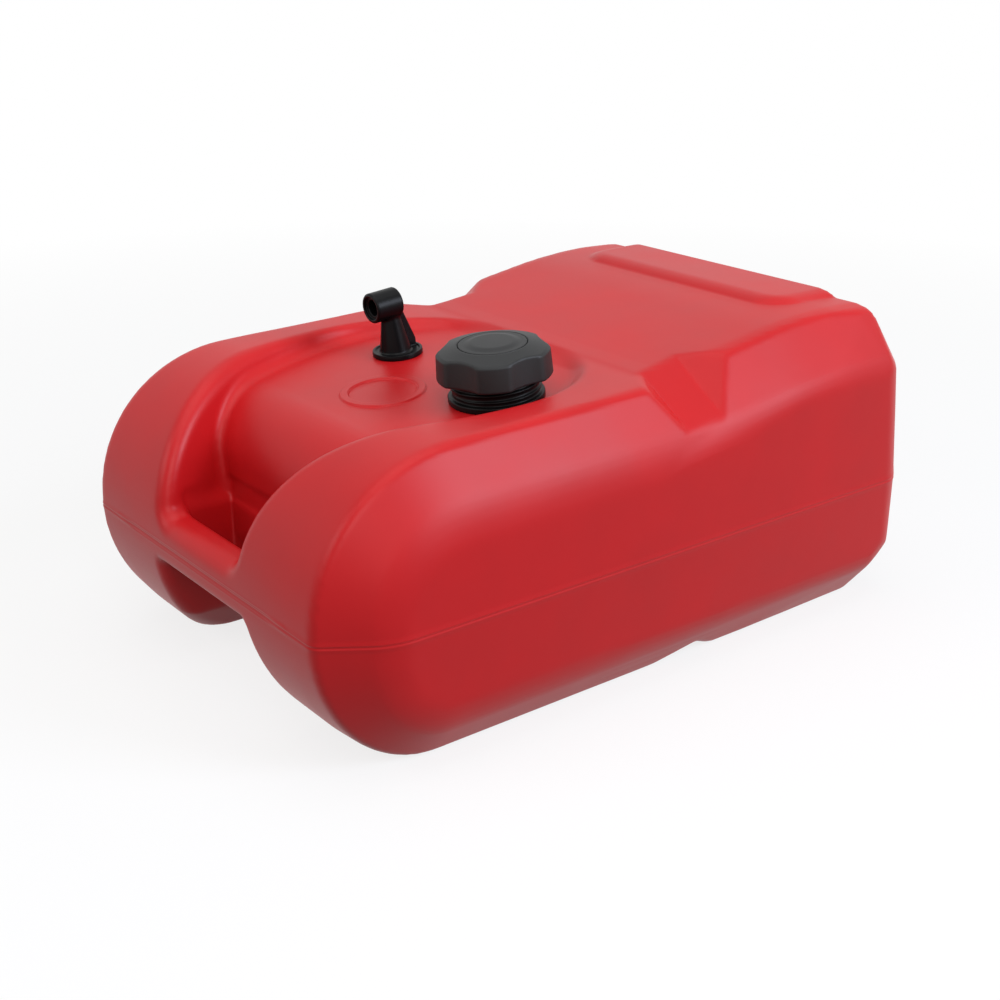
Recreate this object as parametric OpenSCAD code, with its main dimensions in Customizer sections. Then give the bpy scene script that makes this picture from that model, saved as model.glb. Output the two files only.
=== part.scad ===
// Portable outboard fuel tank: a blow-moulded shell with two front lobes, a carrying
// handle between them and a sunk, forward-leaning floor that holds the filler cap,
// a blank gauge ring and the pickup fitting.
// The shell is drawn in tank coordinates: Y runs back from the front tread and Z up
// from the parting plane. placed() moves it to the part's frame, whose origin is the
// middle of the base.

/* [Tank body] */
// Length from the front tread to the rear face
tank_len = 530; // [500:1:580]
// Width over the side walls at the parting plane
tank_w = 356; // [340:1:380]
// Wall thickness of the shell
wall = 4; // [3:0.5:5]
// Depth of the base below the parting plane
base_depth = 102; // [92:1:112]
// Height of the front crest above the parting plane
crest_rise = 108; // [104:1:112]
// Gain in height of the side rails from the crest back to the plateau's foot
rail_gain = 3.5; // [2:0.5:5]
// Height of the rear plateau above the parting plane
plateau_rise = 134; // [130:0.5:140]
// Drop of the plateau from its highest place to its rear edge
plateau_fall = 1.5; // [0.5:0.5:3]
// Sideways width of the shoulder between the tread and the side wall
shoulder_w = 29; // [24:1:34]
// Depth of the shoulder at the front tread
shoulder_front = 37; // [30:1:42]
// Height of the shoulder along the rails
shoulder_top = 46; // [40:1:52]
// Sideways width of the shoulder along the plateau
plateau_shoulder_w = 35; // [32:1:40]
// Height of the shoulder along the base
shoulder_base = 34; // [28:1:42]
// Inward draft of the side walls from the parting plane to each shoulder
side_draft = 3.5; // [1:0.5:5]
// Length over which the front curves up to the crest
crest_len = 112; // [100:1:125]
// Length over which the front curves down to the base
toe_len = 90; // [78:1:98]
// Shortening of that length towards the middle of each lobe
toe_crown = 7; // [4:1:12]

/* [Rear end] */
// Distance from the front tread to the foot of the plateau's rise
plateau_start = 284; // [280:1:290]
// Length over which the plateau rises
plateau_ramp = 176; // [160:1:190]
// Depth of the slope at the top of the rear face
rear_slope = 34; // [28:1:40]
// Height of the slope at the top of the rear face
rear_slope_h = 48; // [40:1:60]
// Forward lean of the rear face between the parting plane and the slope
rear_lean = 10; // [6:1:14]
// Size of the bevels at the upright corners of the rear face
rear_bevel = 20; // [14:1:24]
// Size of the bevel at the bottom of the rear face
rear_toe = 36; // [28:1:40]
// Height of the raised pad on the plateau
pad_rise = 4; // [2:0.5:6]
// Width of the raised pad
pad_w = 214; // [190:2:224]
// Length of the raised pad
pad_len = 58; // [40:1:64]

/* [Recess and handle] */
// Forward lean of the recess floor, in degrees
floor_tilt = 5.5; // [3:0.5:7]
// Height of the floor above the parting plane, at the gauge ring
floor_rise = 94; // [90:0.5:96]
// Distance from the front tread to the gauge ring's centre
ring_y = 154; // [150:1:160]
// Outer diameter of the gauge ring
ring_d = 62; // [50:1:66]
// Width of the gauge ring
ring_w = 7; // [4:0.5:9]
// Height of the gauge ring above the floor
ring_h = 1.4; // [1:0.2:3]
// Half-width of the recess at its widest place
recess_half = 117; // [112:1:120]
// Half-width of the recess between the lobes at the front
recess_front_half = 60; // [54:1:64]
// Distance from the front tread to the rear edge of the recess
recess_end = 284; // [280:1:288]
// Corner radius at the rear of the recess
recess_corner = 80; // [60:1:90]
// Inward draft of the recess walls between the crest and the parting plane
recess_draft = 14; // [10:1:18]
// Thickness of the handle bar from front to back
bar_d = 25; // [22:1:30]
// Height of the handle bar above the parting plane
bar_up = 18; // [14:1:22]
// Depth of the handle bar below the parting plane
bar_down = 14; // [11:1:18]
// Front-to-back width of the hand opening behind the bar
hand_gap = 38; // [34:1:44]
// Half-width of the hand opening
hand_half = 50; // [46:1:52]

/* [Strap notches] */
// Distance from the front tread to the strap notches' front corner
notch_y = 268; // [266:1:272]
// Length of a notch along the rail
notch_len = 76; // [70:1:78]
// Reach of a notch inward from the side wall
notch_reach = 57; // [52:1:60]
// Drop of a notch's floor below the rail at the side wall
notch_drop = 27; // [20:1:30]
// Depth of the strap channel across the base
channel_depth = 11; // [6:0.5:13]
// Length of the strap channel at the base
channel_len = 60; // [50:1:66]

/* [Filler neck] */
// Distance of the filler neck from the tank's middle plane
neck_x = 71.5; // [70:0.5:72]
// Distance from the front tread to the filler neck
neck_y = 200; // [196:1:202]
// Bore of the filler neck
neck_bore = 51; // [46:0.5:53]
// Outer diameter of the neck under its thread
neck_d = 60.2; // [59:0.1:60.4]
// Height of the thread above the neck's surface
thread_h = 1.6; // [1:0.1:1.6]
// Pitch of the neck thread
thread_pitch = 5; // [4.5:0.5:5]
// Height of the neck above the recess floor
neck_rise = 28; // [26:0.5:30]
// Diameter of the collar at the foot of the neck
collar_d = 67; // [65:0.5:69]
// Height of the collar at the foot of the neck
collar_h = 4.6; // [3:0.2:6]

/* [Cap] */
// Diameter over the cap's lobes
knob_d = 80; // [79:0.5:84]
// Number of lobes round the cap
knob_lobes = 5; // [4:1:6]
// Angle that each lobe takes up, in degrees
lobe_angle = 29; // [24:1:34]
// Depth of the flutes between the lobes
flute_depth = 5.2; // [3:0.2:5.4]
// Height of the cap's skirt
knob_h = 19; // [17:0.2:20.6]
// Rise of the cap's top from the lobes to the dome cover
knob_crown = 3.4; // [2:0.2:4.4]
// Diameter of the dome cover in the middle of the cap
dome_d = 47; // [40:0.5:48]
// Crown of the dome cover
dome_h = 1.6; // [1:0.2:2.4]
// Thickness of the cap gasket
gasket_t = 2; // [1.6:0.1:2.4]
// Thickness of the closure's top plate
closure_t = 2.5; // [2:0.1:2.8]
// Radial gap between the neck thread and the closure
thread_gap = 0.3; // [0.2:0.05:0.35]
// Number of ratchet teeth under the cap's top
ratchet_teeth = 12; // [10:1:14]

/* [Vent valves] */
// Bore of the vent chamber in the closure
vent_bore = 20.6; // [20:0.2:22]
// Sliding gap round the relief poppet
slide_gap = 0.08; // [0.05:0.01:0.1]
// Depth of the vent chamber below the gasket seat
vent_depth = 24; // [22:0.5:25]
// Diameter of the opening under the relief poppet
seat_d = 10; // [9:0.2:11]
// Lift of the relief poppet
relief_lift = 2.5; // [1.5:0.1:3]
// Drop of the vacuum valve
vacuum_drop = 1.2; // [0.8:0.1:1.4]
// Wire diameter of the relief spring
relief_wire = 1.1; // [0.9:0.1:1.2]
// Curls of the relief spring
relief_curls = 5; // [4:1:6]
// Wire diameter of the vacuum spring
vacuum_wire = 0.6; // [0.5:0.05:0.7]
// Curls of the vacuum spring
vacuum_curls = 4; // [3:1:5]

/* [Pickup fitting] */
// Distance of the pickup fitting from the tank's middle plane
pickup_x = -59; // [-61:0.5:-57]
// Distance from the front tread to the pickup fitting
pickup_y = 207; // [203:1:211]
// Diameter of the fitting's flange
flange_d = 37.6; // [36:0.2:40]
// Thickness of the fitting's flange
flange_t = 3; // [2.5:0.1:4]
// Height of the barrel's axis above the recess floor
barrel_z = 39.8; // [37:0.2:44]
// Outer diameter of the barrel
barrel_d = 22.4; // [20:0.2:23]
// Length of the barrel
barrel_len = 22.7; // [21.5:0.1:26]
// Distance of the port's face in front of the post's axis
port_reach = 19.5; // [18:0.5:21]
// Diameter of the hose port's bore
port_d = 12; // [11:0.1:13]
// Depth of the hose port's bore
port_depth = 13; // [11:0.5:15]
// Width of the post's foot
post_foot = 24; // [20:0.5:26]
// Width of the post's head
post_head = 12.8; // [11:0.2:14]
// Bore of the fuel passage
passage_d = 6.4; // [5:0.2:7]
// Outer diameter of the dip tube
dip_d = 9.6; // [8.6:0.2:10.4]
// Distance of the strainer's end above the inner floor
dip_clear = 4; // [3:0.5:8]
// Diameter of the strainer
strainer_d = 16; // [14.6:0.2:18]
// Height of the strainer
strainer_h = 26; // [20:1:32]

/* [Hidden] */
$fn = 64;
eps = 0.01;
red = [0.78, 0.13, 0.15];
black = [0.10, 0.10, 0.11];
seat_gap = 0.1;       // face gap between pieces that are fastened together
turn_gap = 0.25;      // gap between the turning knob and the closure
far = 60;             // overshoot of the cutters beyond the shell
curve_steps = 12;
side_half = tank_w / 2;
tread_half = side_half - shoulder_w;
rail_end = plateau_start + 60;

// ---- heights along the tank ----
function floor_z(y) = floor_rise + tan(floor_tilt) * (y - ring_y);
function rail_z(y) = crest_rise + rail_gain * (y - crest_len) / (plateau_start - crest_len);

// ---- side profiles as [y, z] points; g draws them inward by a wall ----
// Curve from the base up over the front, front_in behind the tread
low_power = 2 / 1.93;
high_power = 2 / 2.1;
function nose(front_in, low, high, toe) = concat(
    [for (i = [0 : curve_steps]) let (a = 90 * (1 - i / curve_steps))
        [toe - (toe - front_in) * pow(cos(a), low_power), -low * pow(sin(a), low_power)]],
    [for (i = [1 : curve_steps]) let (a = 90 * i / curve_steps)
        [crest_len - (crest_len - front_in) * pow(cos(a), high_power),
         high * pow(sin(a), high_power)]]
);

function front_profile(g, toe) = concat(
    nose(g, base_depth - g, crest_rise - g, toe),
    [[rail_end, rail_z(rail_end) - g], [rail_end, -base_depth + g]]
);

function front_side_profile(g) = concat(
    nose(shoulder_front + 7 + g, base_depth - shoulder_base - g, crest_rise - shoulder_top - g,
         toe_len),
    [[rail_end, rail_z(rail_end) - shoulder_top - g],
     [rail_end, -base_depth + shoulder_base + g]]
);

// Rise of the plateau: straight at first, then rounding off to its full height
ramp_steps = 7;
function ramp(low, high) = let (mid = plateau_start + plateau_ramp * 0.49) concat(
    [[plateau_start, low]],
    [for (i = [0 : ramp_steps]) let (t = i / ramp_steps)
        [mid + plateau_ramp * 0.51 * t, low + (high - low) * (0.61 + 0.39 * (1 - pow(1 - t, 2)))]]
);

function rear_top_profile(g, drop) = concat(
    [[plateau_start - far, -base_depth + g],
     [plateau_start - far, rail_z(plateau_start) - far / 2 - g]],
    ramp(rail_z(plateau_start) - g - drop, plateau_rise - g - drop),
    [[tank_len - rear_slope - g, plateau_rise - plateau_fall - g - drop],
     [tank_len - rear_toe - g, -base_depth + g]]
);

function rear_side_profile(g) = concat(
    [[plateau_start - far, -base_depth + shoulder_base + g],
     [plateau_start - far, rail_z(plateau_start) - shoulder_top - far / 2 - g]],
    ramp(rail_z(plateau_start) - shoulder_top - g, plateau_rise - shoulder_top - g),
    [[tank_len - rear_slope + 4 - g, plateau_rise - shoulder_top - g],
     [tank_len - rear_bevel - 1 - g, 0],
     [tank_len - rear_bevel - 1 - g, -base_depth + shoulder_base + 20 + g],
     [tank_len - rear_bevel - 21 - g, -base_depth + shoulder_base + g]]
);

function rear_face_profile(g) = [
    [plateau_start, plateau_rise - rear_slope_h - g],
    [tank_len - rear_lean - g, plateau_rise - rear_slope_h - g],
    [tank_len - g, 0],
    [tank_len - 2 - g, -base_depth + rear_toe + 8 + g],
    [plateau_start, -base_depth + rear_toe + 8 + g]
];

// ---- helpers ----
// Extrudes a side profile sideways to both sides of the middle plane
module slab(points, half) {
    rotate([90, 0, 90]) linear_extrude(2 * half, center = true) polygon(points);
}

// Puts the shell's coordinates into the part's frame
module placed() {
    translate([0, -tank_len / 2, base_depth]) children();
}

// Stands a piece on the leaning recess floor
module on_floor(x, y) {
    placed() translate([x, y, floor_z(y)]) rotate([floor_tilt, 0, 0]) children();
}

module ring(outer, inner, low, high) {
    translate([0, 0, low]) difference() {
        cylinder(h = high - low, r = outer);
        translate([0, 0, -1]) cylinder(h = high - low + 2, r = inner);
    }
}

module disc(radius, low, high) {
    translate([0, 0, low]) cylinder(h = high - low, r = radius);
}

module corners(points) {
    hull() for (p = points) translate(p) cube(eps, center = true);
}

// ---- shell ----
module front_body(g) {
    waist = [[shoulder_front + g, -1], [shoulder_front + g, 1], [rail_end, 1], [rail_end, -1]];
    hull() {
        slab(front_profile(g, toe_len), tread_half - g);
        slab(front_profile(g, toe_len - toe_crown), tread_half - 28 - g);
        slab(front_side_profile(g), side_half - side_draft - g);
        slab(waist, side_half - g);
    }
}

module rear_body(g) {
    end = tank_len - rear_bevel - g;
    waist = [[plateau_start, -1], [plateau_start, 1], [end, 1], [end, -1]];
    foot = tank_len - rear_toe - g;
    base = [[plateau_start - far, -base_depth + g], [foot, -base_depth + g], [foot, 0]];
    crest_half = side_half - plateau_shoulder_w - g;
    brow = [[tank_len - rear_slope - 10 - g, plateau_rise - 4 - g],
            [tank_len - rear_slope + 3 - g, plateau_rise - 6 - g],
            [tank_len - rear_slope - g, 0]];
    hull() {
        slab(rear_top_profile(g, 0), crest_half - 9);
        slab(rear_top_profile(g, 1.5), crest_half);
        slab(brow, crest_half + 5);
        slab(base, tread_half - 2.5 - g);
        slab(rear_side_profile(g), side_half - side_draft - g);
        slab(rear_face_profile(g), side_half - rear_bevel - g);
        slab(waist, side_half - g);
    }
}

module pad(g) {
    rear = tank_len - rear_slope - g;
    slope = 8;
    top = plateau_rise + pad_rise - g;
    hull() {
        slab([[rear - pad_len, top], [rear, top], [rear, top - 1]], pad_w / 2 - slope);
        slab([[rear - pad_len - slope, plateau_rise - g - 1], [rear + 1, plateau_rise - g - 1]],
             pad_w / 2 + slope);
        slab([[rear - pad_len, top], [rear, top], [rear, plateau_rise - g - 2],
              [rear - pad_len, plateau_rise - g - 2]], pad_w / 2 - slope - 1);
    }
}

// Plan of the recess, narrow between the lobes and wide at the filler
recess_wide_y = recess_end - recess_corner;
function recess_half_at(y) = recess_front_half
    + (recess_half - recess_front_half) * pow(sin(90 * y / recess_wide_y), 1.35);
function recess_side(g) = concat(
    [[recess_front_half + g, -far]],
    [for (i = [0 : 6]) [recess_half_at(recess_wide_y * i / 6) + g, recess_wide_y * i / 6]],
    [for (i = [1 : 8]) let (a = 90 * i / 8)
        [recess_half - recess_corner + (recess_corner + g) * cos(a),
         recess_wide_y + (recess_corner + g) * sin(a)]]
);
function mirrored(points) = concat(points,
    [for (i = [len(points) - 1 : -1 : 0]) [-points[i][0], points[i][1]]]);

module recess_plan(g, shrink, z) {
    translate([0, 0, z]) linear_extrude(eps) polygon(mirrored(recess_side(g - shrink)));
}

// Side profile of the air above the recess floor and the handle bar
pocket_y = bar_d + hand_gap;
pocket_r = 45;
floor_front = pocket_y + pocket_r;
rear_rise = 16;       // run of the recess's rear slope
function recess_air(g) = concat(
    [[-far, bar_up - g], [pocket_y + g * 0, bar_up - g]],
    [for (i = [0 : 8]) let (a = 90 - 90 * i / 8)
        [floor_front - (pocket_r - g) * sin(a),
         floor_z(floor_front) - pocket_r + (pocket_r - g) * cos(a)]],
    [[recess_end - rear_rise + g / 2, floor_z(recess_end - rear_rise) - g],
     [recess_end + g, rail_z(recess_end)],
     [recess_end + rear_rise + g, rail_z(recess_end) + far],
     [-far, rail_z(recess_end) + far]]
);

module recess(g) {
    intersection() {
        slab(recess_air(g), side_half);
        hull() {
            recess_plan(g, 0, crest_rise + far);
            recess_plan(g, 0, crest_rise);
            recess_plan(g, recess_draft, 0);
        }
    }
}

// Space under the handle bar, between the lower halves of the lobes
trough_len = 70;
function trough_air(g) = concat(
    [[-far, -bar_down + g]],
    [for (i = [0 : 8]) let (a = 90 * i / 8)
        [pocket_y + g + trough_len * (1 - cos(a)),
         -bar_down + g - (base_depth - bar_down + far / 10) * sin(a)]],
    [[-far, -base_depth - far / 10]]
);

module trough(g) {
    top = recess_front_half - 2 + g;
    section = mirrored([
        [top, -bar_down + g], [top + 7, -base_depth * 0.66 + g],
        [top + 21, -base_depth * 0.88 + g], [top + 45, -base_depth + g],
        [top + 45, -base_depth - far]
    ]);
    intersection() {
        slab(trough_air(g), side_half);
        translate([0, 2 * pocket_y + g, 0]) rotate([90, 0, 0])
            linear_extrude(2 * pocket_y + far) polygon(section);
    }
}

// Opening for the hand behind the bar
module hand_hole(g) {
    translate([-hand_half - g, bar_d - g, -base_depth])
        cube([2 * (hand_half + g), hand_gap + 2 * g, base_depth + floor_front]);
}

// Wedge cut into the shoulder of each side for a hold-down strap: three plane faces
// between these corners, swept outward and upward
function notch_points() = let (
    inner = side_half - notch_reach,
    sill = rail_z(notch_y) - notch_drop,
    deck = rail_z(plateau_start)
) [
    [tread_half - 1, notch_y, rail_z(notch_y) - 2],
    [inner, notch_y + notch_len * 0.25, deck + 0.6],
    [inner + 2, notch_y + notch_len * 0.68, deck + 6.5],
    [inner + 21.5, notch_y + notch_len, deck + 6],
    [inner + 25.5, notch_y + notch_len, deck + 0.5],
    [inner + 43.5, notch_y + notch_len * 0.77, sill - 1.5],
    [inner + 42, notch_y + notch_len * 0.25, sill]
];

module strap_notch(g) {
    shift = [-0.87 * g, 0, -0.87 * g];
    corners(concat(
        [for (p = notch_points()) p + shift],
        [for (p = notch_points()) p + shift + far * [1, 0, 1]]
    ));
}

// Channel for the strap across the base
module strap_channel(g) {
    mid = notch_y + notch_len * 0.57;
    half = channel_len / 2;
    slab([[mid - half - g, -base_depth - eps], [mid + half + g, -base_depth - eps],
          [mid + half / 4 + g, -base_depth + channel_depth + g],
          [mid + half / 8, -base_depth + channel_depth + g]], side_half + far);
}

module shell_form(g) {
    difference() {
        union() {
            front_body(g);
            rear_body(g);
            pad(g);
        }
        recess(g);
        trough(g);
        hand_hole(g);
        strap_notch(g);
        mirror([1, 0, 0]) strap_notch(g);
        strap_channel(g);
    }
}

bushing_d = 28;
module tank_shell() {
    color(red) difference() {
        union() {
            placed() difference() {
                shell_form(0);
                shell_form(wall);
            }
            on_floor(0, ring_y) ring(ring_d / 2, ring_d / 2 - ring_w, -wall / 2, ring_h);
        }
        on_floor(neck_x, neck_y) disc(neck_d / 2 + seat_gap, -far / 2, far / 2);
        on_floor(pickup_x, pickup_y) disc(bushing_d / 2 + seat_gap, -far / 2, far / 2);
    }
}

// ---- filler neck ----
thread_r = neck_d / 2 + thread_h;
neck_flange_t = 2.5;
module filler_neck() {
    root = thread_pitch * 0.3;
    turns = floor((neck_rise - collar_h - 3) / thread_pitch);
    color(black) on_floor(neck_x, neck_y) difference() {
        union() {
            disc(neck_d / 2, -wall - neck_flange_t, neck_rise);
            ring(collar_d / 2, neck_d / 2 - 1, seat_gap, collar_h);
            ring(collar_d / 2, neck_d / 2 - 1, -wall - neck_flange_t - 1.5, -wall - 1.5);
            for (i = [0 : turns - 1])
                translate([0, 0, neck_rise - 3 - i * thread_pitch]) rotate_extrude()
                    polygon([[neck_d / 2 - 1, -root - 1], [neck_d / 2, -root],
                             [thread_r, -root / 3], [thread_r, root / 3],
                             [neck_d / 2, root], [neck_d / 2 - 1, root + 1]]);
        }
        disc(neck_bore / 2, -far, far);
    }
}

// ---- cap ----
gasket_z = neck_rise;
plate_z = gasket_z + gasket_t;
closure_top = plate_z + closure_t;
closure_bore = thread_r + thread_gap;
closure_r = closure_bore + 1.1;
knob_bore = closure_r + turn_gap;
knob_r = knob_d / 2;
flute_floor = knob_r - flute_depth;
ceiling_z = closure_top + 1.8;
rim_z = ceiling_z + 1.8;
knob_z = rim_z - knob_h;
crown_z = rim_z + knob_crown;
dome_sink = 1.6;
lip_t = 1.5;

module cap_gasket() {
    color([0.16, 0.16, 0.16]) on_floor(neck_x, neck_y)
        ring(neck_d / 2 + 0.5, neck_bore / 2 + 0.5, gasket_z, plate_z);
}

vent_r = vent_bore / 2;
vent_floor = plate_z - vent_depth + 2;
retainer_z = vent_floor + 16;
retainer_t = 2;
retainer_r = vent_r + 1;
module cap_closure() {
    color(black) on_floor(neck_x, neck_y) difference() {
        union() {
            disc(closure_r, knob_z + lip_t + turn_gap, closure_top);
        }
        difference() {
            disc(closure_bore, -far, plate_z);
            disc(vent_r + 3, plate_z - vent_depth, plate_z + eps);
        }
        disc(vent_r, vent_floor, far);
        disc(retainer_r, retainer_z, far);
        disc(seat_d / 2, -far, far);
    }
    color(black) on_floor(neck_x, neck_y) difference() {
        disc(vent_r + 3, plate_z - vent_depth, plate_z + eps);
        disc(vent_r, vent_floor, far);
        disc(retainer_r, retainer_z, far);
        disc(seat_d / 2, -far, far);
    }
}

// Outline of the knob: round lobes with a wide, shallow flute between each pair
module knob_outline() {
    flute_half = (360 / knob_lobes - lobe_angle) / 2;
    chord = knob_r * sin(flute_half);
    sag = knob_r * cos(flute_half) - flute_floor;
    flute_r = (chord * chord + sag * sag) / (2 * sag);
    difference() {
        circle(r = knob_r);
        for (i = [0 : knob_lobes - 1]) rotate(360 / knob_lobes * (i + 0.5) + 34.5)
            translate([flute_floor + flute_r, 0]) circle(r = flute_r);
    }
}

tooth_pitch = 360 / ratchet_teeth;
tooth_angle = 8;
pawl_angle = 6;
tooth_in = 25.5;
tooth_out = 28.5;
pawl_tip = 26.3;
bevel = 2;
module cap_knob() {
    dome_r = dome_d / 2;
    color(black) on_floor(neck_x, neck_y) difference() {
        union() {
            intersection() {
                translate([0, 0, knob_z]) linear_extrude(crown_z - knob_z) knob_outline();
                rotate_extrude() polygon([
                    [0, knob_z], [knob_r - 1, knob_z], [knob_r, knob_z + 1],
                    [knob_r - 0.8, rim_z - bevel], [knob_r - 0.8 - bevel, rim_z],
                    [dome_r + 1, crown_z], [0, crown_z]
                ]);
            }
        }
        disc(knob_bore, knob_z + lip_t, ceiling_z);
        disc(closure_bore + 0.2, knob_z - 1, ceiling_z - 1);
        disc(dome_r + seat_gap, crown_z - dome_sink, far);
        disc(3, ceiling_z - 1, far);
    }
    color(black) on_floor(neck_x, neck_y)
        for (i = [0 : ratchet_teeth - 1])
            rotate(i * tooth_pitch + (tooth_angle + pawl_angle) / 2 + 0.7)
                tooth();
}

// One ratchet tooth, hanging from the knob's ceiling
module tooth() {
    translate([0, 0, closure_top + 0.3]) rotate(-tooth_angle / 2)
        rotate_extrude(angle = tooth_angle)
            translate([tooth_in, 0]) square([tooth_out - tooth_in, ceiling_z - closure_top + 0.2]);
}

module ratchet_ring() {
    ring_in = 15;
    ring_out = 19;
    thick = 1.2;
    color([0.75, 0.75, 0.72]) on_floor(neck_x, neck_y) {
        ring(ring_out, ring_in, closure_top, closure_top + thick);
        for (i = [0 : 3]) rotate(i * 3 * tooth_pitch) {
            translate([0, 0, closure_top]) rotate(-pawl_angle / 2)
                rotate_extrude(angle = pawl_angle)
                    translate([ring_out - 1, 0]) square([pawl_tip - ring_out + 1, thick]);
        }
    }
}

module dome_cover() {
    dome_r = dome_d / 2;
    ball_r = (dome_r * dome_r + dome_h * dome_h) / (2 * dome_h);
    base_z = crown_z - dome_sink + 0.05;
    edge = asin(dome_r / ball_r);
    color([0.13, 0.13, 0.14]) on_floor(neck_x, neck_y) rotate_extrude() polygon(concat(
        [[0, ceiling_z + 0.1], [2.8, ceiling_z + 0.1], [2.8, base_z], [dome_r, base_z]],
        [for (i = [10 : -1 : 1]) let (a = edge * i / 10)
            [ball_r * sin(a), crown_z + dome_h - ball_r + ball_r * cos(a)]],
        [[0, crown_z + dome_h]]
    ));
}

// ---- vent valves in the closure ----
seal_t = 0.9;
poppet_z = vent_floor + seal_t;
poppet_t = 2;
poppet_r = vent_r - slide_gap;
poppet_top = poppet_z + poppet_t;
stem_r = 1.4;
vacuum_disc_r = seat_d / 2 - 0.8;
head_z = poppet_top + 6.6;

module valve_retainer() {
    color([0.7, 0.7, 0.68]) on_floor(neck_x, neck_y) difference() {
        disc(retainer_r - 0.05, retainer_z, retainer_z + retainer_t);
        disc(4, -far, far);
        for (i = [0 : 3]) rotate(90 * i + 45) translate([6.4, 0, -far]) cylinder(h = 3 * far, r = 1.2);
    }
}

module relief_poppet() {
    color([0.8, 0.8, 0.78]) on_floor(neck_x, neck_y) difference() {
        disc(poppet_r, poppet_z, poppet_top + 3);
        disc(poppet_r - 1, poppet_top, far);
        disc(stem_r + slide_gap, -far, far);
        for (i = [0 : 3]) rotate(90 * i) {
            translate([poppet_r, 0, -far]) cylinder(h = 3 * far, r = 1);
            rotate(45) translate([3, 0, -far]) cylinder(h = 3 * far, r = 0.5);
        }
    }
}

module relief_seal() {
    color([0.2, 0.2, 0.2]) on_floor(neck_x, neck_y)
        ring(poppet_r - 1.8, seat_d / 2 + 0.4, vent_floor, poppet_z);
}

module vacuum_valve() {
    color([0.8, 0.8, 0.78]) on_floor(neck_x, neck_y) {
        disc(vacuum_disc_r, poppet_z - seal_t - 1.2, poppet_z - seal_t);
        disc(stem_r, poppet_z - seal_t - 1.2, head_z + 1.2);
        disc(3.2, head_z, head_z + 1.2);
    }
}

module vacuum_seal() {
    color([0.2, 0.2, 0.2]) on_floor(neck_x, neck_y)
        ring(vacuum_disc_r - 0.3, stem_r + 0.6, poppet_z - seal_t, poppet_z);
}

// ---- springs: one unbroken tube of six sides, eight rings to a curl ----
spring_sides = 6;
spring_rings = 8;
function curl_point(r, low, high, curls, wire, i) = let (
    n = curls * spring_rings,
    flat = spring_rings / 2,
    t = min(max((i - flat / 2) / (n - flat), 0), 1),
    a = 360 * i / spring_rings
) [r * cos(a), r * sin(a), low + wire / 2 + (high - low - wire) * t];

function spring_points(r, low, high, curls, wire) = [
    for (i = [0 : curls * spring_rings]) let (
        c = curl_point(r, low, high, curls, wire, i),
        a = 360 * i / spring_rings
    )
    for (k = [0 : spring_sides - 1]) let (b = 360 * k / spring_sides)
        c + wire / 2 * [cos(a) * cos(b), sin(a) * cos(b), sin(b)]
];

module coil(r, low, high, curls, wire) {
    n = curls * spring_rings;
    points = spring_points(r, low, high, curls, wire);
    faces = concat(
        [for (i = [0 : n - 1]) for (k = [0 : spring_sides - 1])
            each let (
                k2 = (k + 1) % spring_sides,
                a = i * spring_sides + k,
                b = i * spring_sides + k2,
                c = (i + 1) * spring_sides + k2,
                d = (i + 1) * spring_sides + k
            ) [[a, b, c], [a, c, d]]],
        [for (k = [1 : spring_sides - 2]) [0, k + 1, k]],
        [for (k = [1 : spring_sides - 2]) let (m = n * spring_sides) [m, m + k, m + k + 1]]
    );
    polyhedron(points, [for (f = faces) [f[2], f[1], f[0]]]);
}

// Least distance between the surfaces of two neighbouring curls
function coil_gap(r, low, high, curls, wire) = min([
    for (i = [0 : (curls - 1) * spring_rings])
        norm(curl_point(r, low, high, curls, wire, i + spring_rings)
             - curl_point(r, low, high, curls, wire, i)) - wire
]);

relief_spring_r = poppet_r - 2.6;
vacuum_spring_r = stem_r + 1;
module relief_spring() {
    echo(relief_spring_gap = coil_gap(relief_spring_r, poppet_top, retainer_z,
                                      relief_curls, relief_wire));
    color([0.7, 0.7, 0.72]) on_floor(neck_x, neck_y)
        coil(relief_spring_r, poppet_top, retainer_z, relief_curls, relief_wire);
}

module vacuum_spring() {
    echo(vacuum_spring_gap = coil_gap(vacuum_spring_r, poppet_top, head_z,
                                      vacuum_curls, vacuum_wire));
    color([0.7, 0.7, 0.72]) on_floor(neck_x, neck_y)
        coil(vacuum_spring_r, poppet_top, head_z, vacuum_curls, vacuum_wire);
}

// ---- pickup fitting ----
stub_r = 11;
stub_end = -wall - 6;
bushing_flange_r = bushing_d / 2 + 4;
oring_r = 15.2;
oring_t = 1.6;
strainer_end = -(floor_z(pickup_y) + base_depth - wall - dip_clear) / cos(floor_tilt);
strainer_top = strainer_end + strainer_h;
screen_t = 0.4;
cage_t = 1;

module pickup_bushing() {
    color(black) on_floor(pickup_x, pickup_y) {
        ring(bushing_d / 2, stub_r + 0.05, stub_end + 0.5, -seat_gap);
        ring(bushing_flange_r, bushing_d / 2 - 1, stub_end + 0.5, -wall - 1.5);
    }
}

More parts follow.
